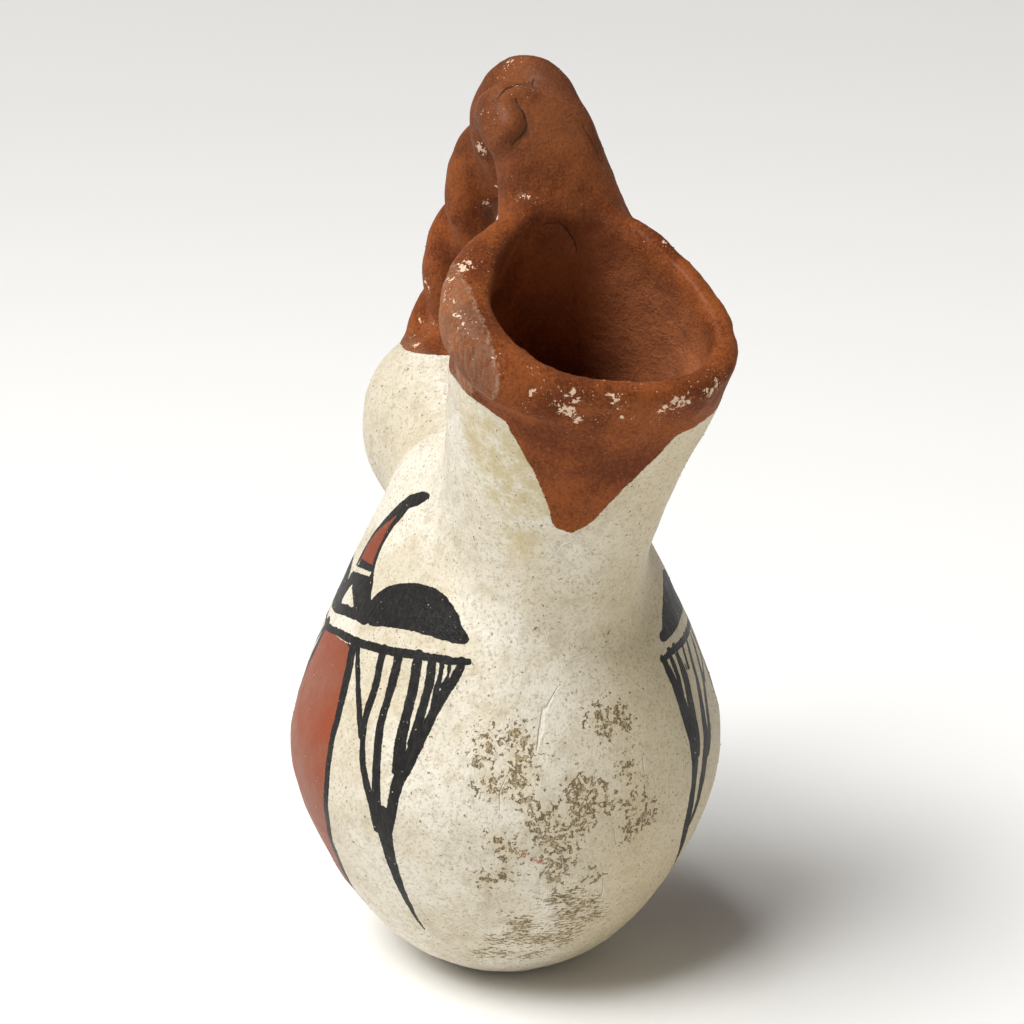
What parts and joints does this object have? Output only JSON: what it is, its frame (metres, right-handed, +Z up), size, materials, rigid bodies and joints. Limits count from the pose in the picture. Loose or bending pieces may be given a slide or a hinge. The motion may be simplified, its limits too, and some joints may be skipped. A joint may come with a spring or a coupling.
{
  "type": "bird effigy pot",
  "caption": "Hollow clay pot shaped as a bird: pear body, flared tilted spout, closed head with a short beak, and a twisted two-strand handle from rim to crown.",
  "frame": {"origin": "centre of the flat underside of the foot, where the pot stands", "axes": "+Z up from the foot to the handle, -Y towards the spout, +Y towards the bird's head, X across the pot"},
  "size_m": [0.0749, 0.1078, 0.1566],
  "materials": {
    "slipped_clay": "polished cream-white slip with painted black and red-brown feather motifs, red-brown slip on the spout and handle"
  },
  "bodies": {
    "root": {"bird_effigy_pot": "slipped_clay"}
  },
  "joints": []
}
